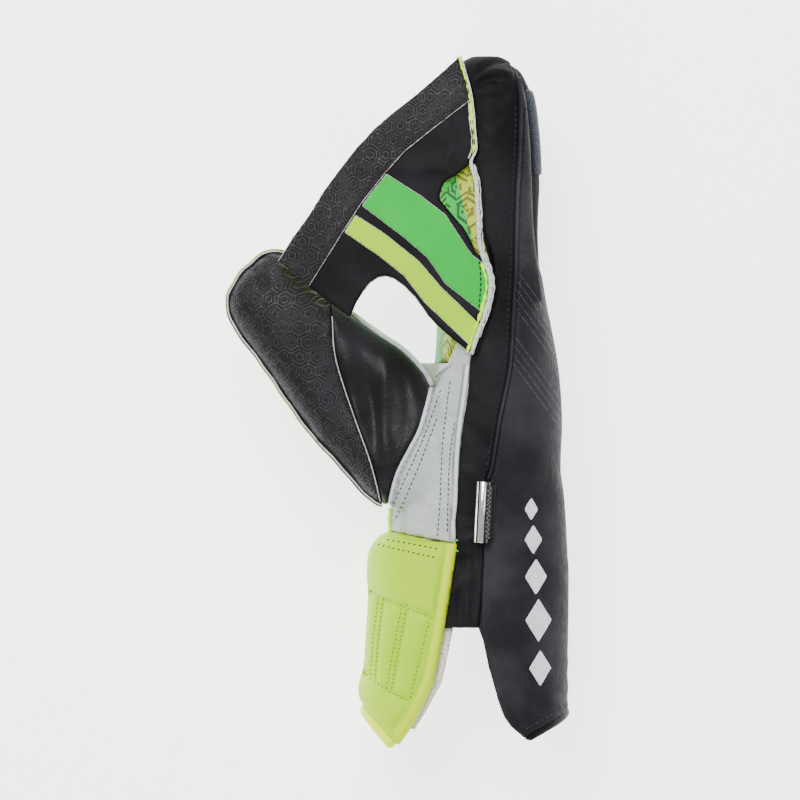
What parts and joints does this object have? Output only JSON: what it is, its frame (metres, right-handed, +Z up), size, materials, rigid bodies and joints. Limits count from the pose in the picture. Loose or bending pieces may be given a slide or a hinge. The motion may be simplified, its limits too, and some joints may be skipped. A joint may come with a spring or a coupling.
{
  "type": "wicketkeeping glove",
  "caption": "Padded right-hand sport glove with separate finger stalls, a web between thumb and forefinger, and two facing cuffs, lying on its little-finger side.",
  "frame": {"origin": "middle of the bounding box in plan, on the surface that the glove rests on", "axes": "+Y from the cuffs to the fingertips, +X from the palm to the back of the hand, +Z up through the thumb side"},
  "size_m": [0.1574, 0.3156, 0.1147],
  "materials": {
    "catching_rubber": "yellow and green pimpled rubber",
    "suede": "pale grey suede",
    "black_leather": "smooth black leather with a soft sheen",
    "matt_leather": "thin matt black leather",
    "blue_grey_leather": "blue-grey embossed leather",
    "embossed_leather": "black leather embossed with a hexagon maze",
    "bright_yellow": "bright yellow coated leather",
    "bright_green": "bright green coated leather",
    "towelling": "off-white ribbed towelling",
    "white_laminate": "cut edge of white foam laminate",
    "bright_metal": "polished chrome plate",
    "elastic": "black woven elastic"
  },
  "bodies": {
    "root": {"palm_facing": "catching_rubber", "thumb_facing": "catching_rubber", "suede_heel": "suede", "thumb_edging": "suede", "back_panel": "black_leather", "thumb_back": "black_leather", "web": "black_leather", "back_welt": "black_leather", "back_cuff": "black_leather", "side_gusset": "matt_leather", "fourchette_1": "matt_leather", "fourchette_2": "matt_leather", "fourchette_3": "matt_leather", "little_finger_gusset": "matt_leather", "back_cuff_piping": "matt_leather", "finger_back_strip": "blue_grey_leather", "thumb_pad": "embossed_leather", "web_band": "embossed_leather", "web_facing": "bright_yellow", "web_stripe_yellow": "bright_yellow", "front_cuff": "bright_yellow", "front_cuff_piping": "bright_yellow", "web_stripe_green": "bright_green", "front_cuff_lining": "towelling", "seam_edge": "white_laminate", "wrist_bar": "bright_metal", "bar_loop": "elastic"}
  },
  "joints": []
}
